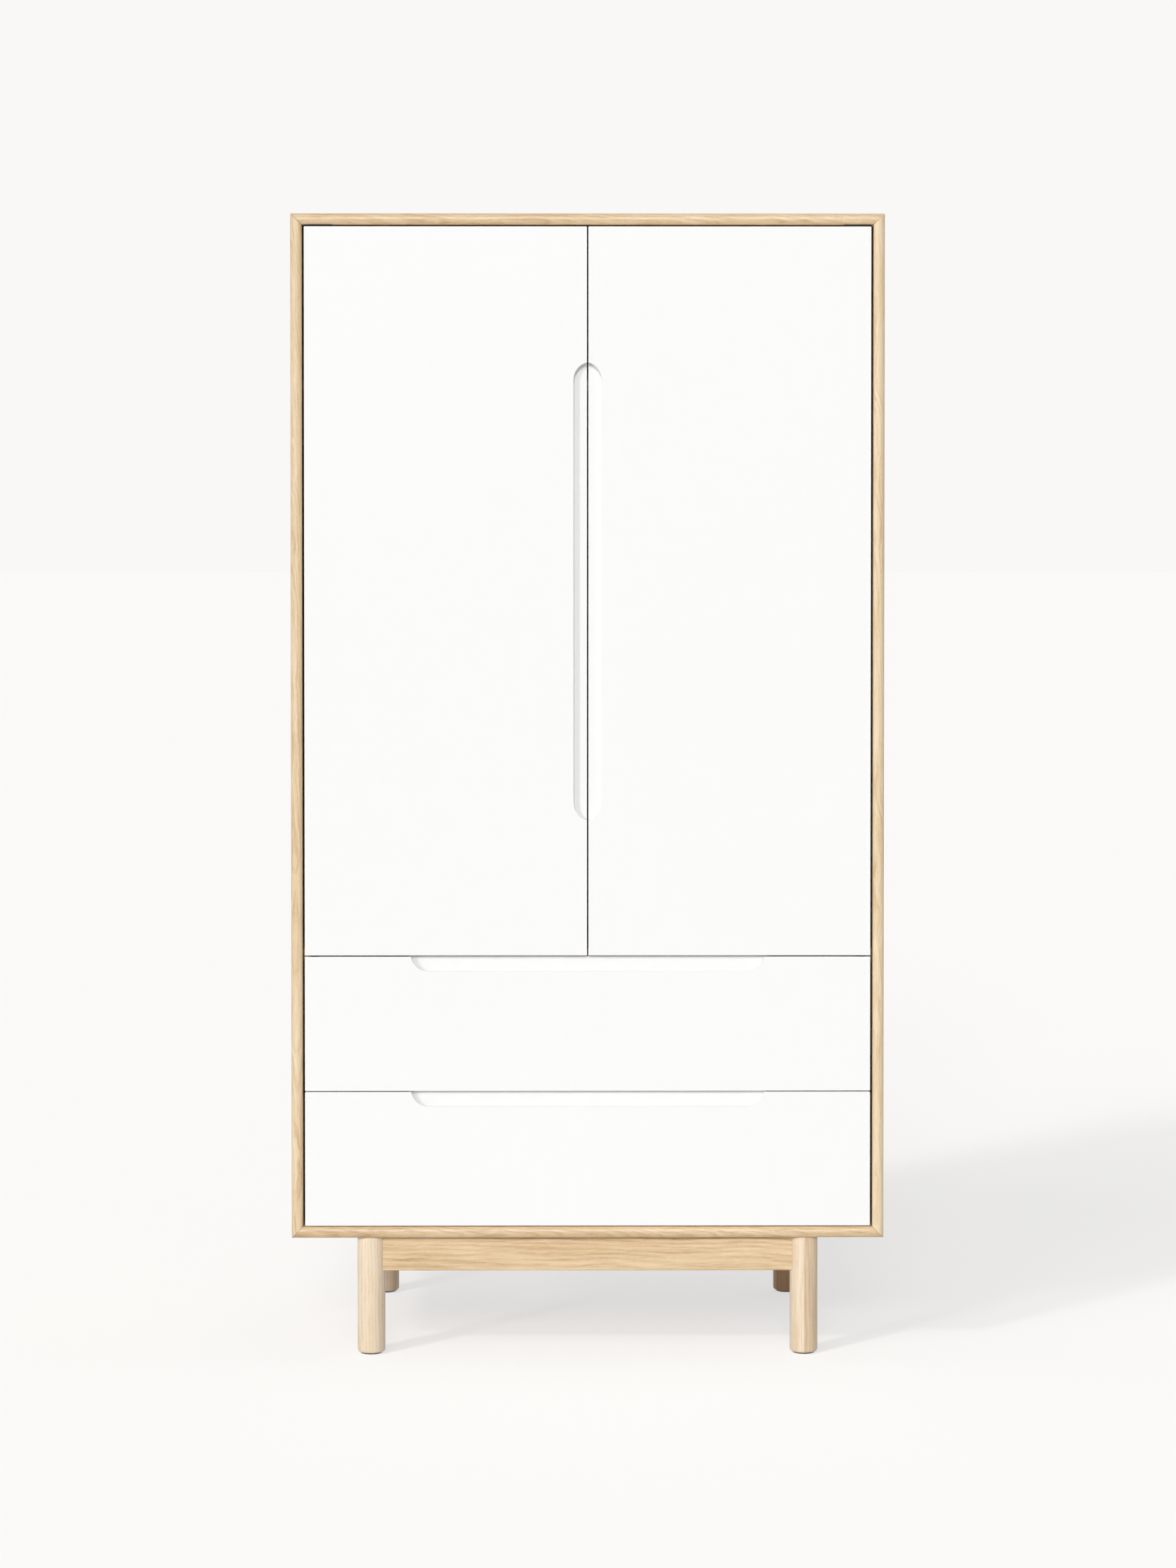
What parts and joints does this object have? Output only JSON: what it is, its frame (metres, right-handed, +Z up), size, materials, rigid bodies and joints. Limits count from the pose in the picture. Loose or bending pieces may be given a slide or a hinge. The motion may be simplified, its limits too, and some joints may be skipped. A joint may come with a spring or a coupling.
{
  "type": "armoire",
  "caption": "Free-standing wooden armoire with inset hinged doors above full-width drawers, recessed finger pockets and a low round-legged base.",
  "frame": {"origin": "on the floor under the middle of the armoire", "axes": "+Z up, the front looks along -Y, +X to the right of a person facing the front"},
  "size_m": [1, 0.55, 1.928],
  "materials": {
    "oak": "solid oak, matt clear oil with visible straight and cathedral grain",
    "oak_board": "oak-veneered thin board, matt",
    "white_lacquer": "smooth white satin lacquer on board",
    "birch": "clear-lacquered pale birch board",
    "zinc_steel": "bright zinc-plated steel",
    "chrome": "satin chrome tube",
    "black_steel": "satin black coated steel",
    "nylon": "natural nylon",
    "dark_plastic": "dark matt plastic"
  },
  "bodies": {
    "carcass": {"side_panel_left": "oak", "side_panel_right": "oak", "top_panel": "oak", "bottom_panel": "oak", "fixed_shelf": "oak", "back_panel": "oak_board", "hat_shelf": "oak", "shelf_pin_front_left": "zinc_steel", "shelf_pin_front_right": "zinc_steel", "shelf_pin_rear_left": "zinc_steel", "shelf_pin_rear_right": "zinc_steel", "hanging_rail": "chrome", "rail_socket_left": "chrome", "rail_socket_right": "chrome", "leg_front_left": "oak", "leg_front_right": "oak", "leg_rear_left": "oak", "leg_rear_right": "oak", "glide_front_left": "dark_plastic", "glide_front_right": "dark_plastic", "glide_rear_left": "dark_plastic", "glide_rear_right": "dark_plastic", "base_rail_front": "oak", "base_rail_rear": "oak", "base_rail_left": "oak", "base_rail_right": "oak", "pivot_plate_left": "black_steel", "pivot_plate_right": "black_steel", "pivot_bracket_left": "black_steel", "pivot_bracket_right": "black_steel", "door_catch_left": "dark_plastic", "door_catch_right": "dark_plastic", "runner_cabinet_left_lower": "black_steel", "runner_cabinet_right_lower": "black_steel", "runner_cabinet_left_upper": "black_steel", "runner_cabinet_right_upper": "black_steel"},
    "door_left_body": {"door_left": "white_lacquer", "bush_top_left": "nylon", "bush_bottom_left": "nylon"},
    "door_right_body": {"door_right": "white_lacquer", "bush_top_right": "nylon", "bush_bottom_right": "nylon"},
    "drawer_lower_body": {"drawer_front_lower": "white_lacquer", "drawer_back_lower": "birch", "drawer_bottom_lower": "birch", "drawer_side_left_lower": "birch", "runner_drawer_left_lower": "black_steel", "drawer_side_right_lower": "birch", "runner_drawer_right_lower": "black_steel"},
    "drawer_upper_body": {"drawer_front_upper": "white_lacquer", "drawer_back_upper": "birch", "drawer_bottom_upper": "birch", "drawer_side_left_upper": "birch", "runner_drawer_left_upper": "black_steel", "drawer_side_right_upper": "birch", "runner_drawer_right_upper": "black_steel"},
    "runner_middles_lower": {"runner_middle_left_lower": "black_steel", "runner_middle_right_lower": "black_steel"},
    "runner_middles_upper": {"runner_middle_left_upper": "black_steel", "runner_middle_right_upper": "black_steel"}
  },
  "joints": [
    {"name": "door_left_hinge", "type": "hinge", "parent": "carcass", "child": "door_left_body", "pos_m": [-0.46183, -0.2635, 1.29225], "axis": [0, 0, -1], "range_deg": [0, 110]},
    {"name": "door_right_hinge", "type": "hinge", "parent": "carcass", "child": "door_right_body", "pos_m": [0.46183, -0.2635, 1.29225], "axis": [0, 0, 1], "range_deg": [0, 110]},
    {"name": "drawer_upper_slide", "type": "slide", "parent": "carcass", "child": "drawer_upper_body", "axis": [0, -1, 0], "range_m": [0, 0.45]},
    {"name": "drawer_lower_slide", "type": "slide", "parent": "carcass", "child": "drawer_lower_body", "axis": [0, -1, 0], "range_m": [0, 0.45]},
    {"name": "runner_upper_slide", "type": "slide", "parent": "carcass", "child": "runner_middles_upper", "axis": [0, -1, 0], "range_m": [0, 0.225]},
    {"name": "runner_lower_slide", "type": "slide", "parent": "carcass", "child": "runner_middles_lower", "axis": [0, -1, 0], "range_m": [0, 0.225]}
  ],
  "couplings": [
    {"joint": "runner_upper_slide", "follows": "drawer_upper_slide", "ratio": 0.5},
    {"joint": "runner_lower_slide", "follows": "drawer_lower_slide", "ratio": 0.5}
  ]
}
